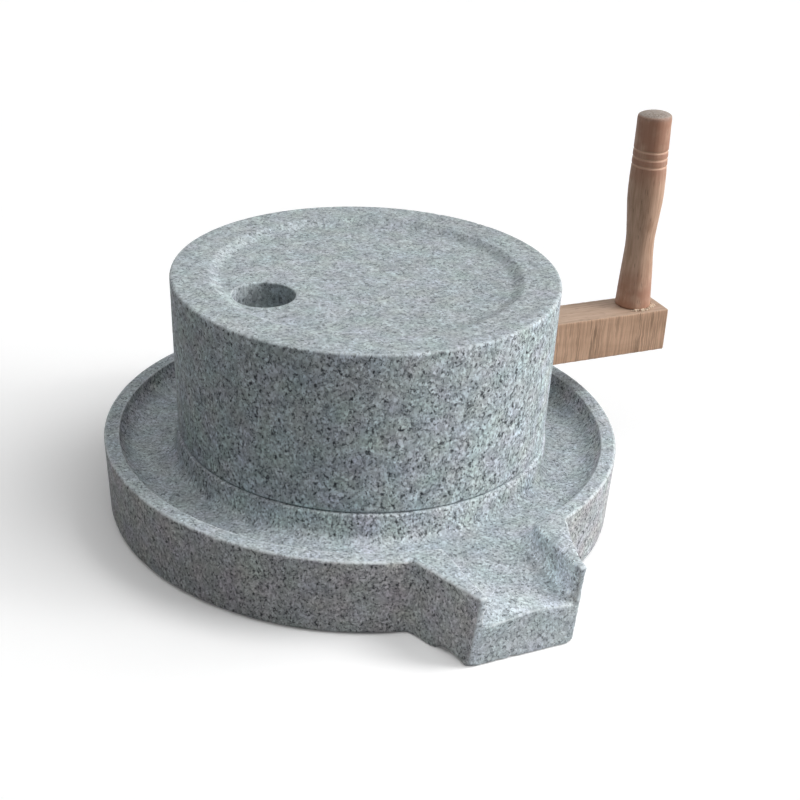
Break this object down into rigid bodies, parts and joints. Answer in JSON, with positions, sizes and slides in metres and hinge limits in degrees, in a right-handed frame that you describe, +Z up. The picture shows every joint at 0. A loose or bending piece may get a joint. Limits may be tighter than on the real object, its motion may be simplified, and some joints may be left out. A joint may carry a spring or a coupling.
{
  "type": "stone hand mill",
  "caption": "Hand-turned granite mill: runner stone with a feed hole and wooden crank over a dressed bed, in a tray with a trough and spout.",
  "frame": {"origin": "on the mill's axis, on the flat underside of the tray", "axes": "+Z up along the mill's axis; -Y out along the spout; the crank arm lies near +X at rest"},
  "size_m": [0.3994, 0.386, 0.2522],
  "materials": {
    "granite": "matte",
    "arm_wood": "satin",
    "grip_wood": "satin",
    "wedge_wood": "matte",
    "pin_steel": "satin",
    "sleeve_nylon": "matte"
  },
  "bodies": {
    "base": {"base_stone": "granite", "bed_sleeve": "sleeve_nylon"},
    "spindle": {"spindle_pin": "pin_steel"},
    "runner": {"runner_stone": "granite", "runner_sleeve": "sleeve_nylon", "crank_arm": "arm_wood", "wedge_set": "wedge_wood", "wedge_driven": "wedge_wood", "crank_grip": "grip_wood"}
  },
  "joints": [
    {"name": "runner_spin", "type": "hinge", "parent": "base", "child": "spindle", "pos_m": [0, 0, 0.0564], "axis": [0, 0, 1], "continuous": true},
    {"name": "runner_lift", "type": "slide", "parent": "spindle", "child": "runner", "axis": [0, 0, 1], "range_m": [0, 0.12]}
  ]
}
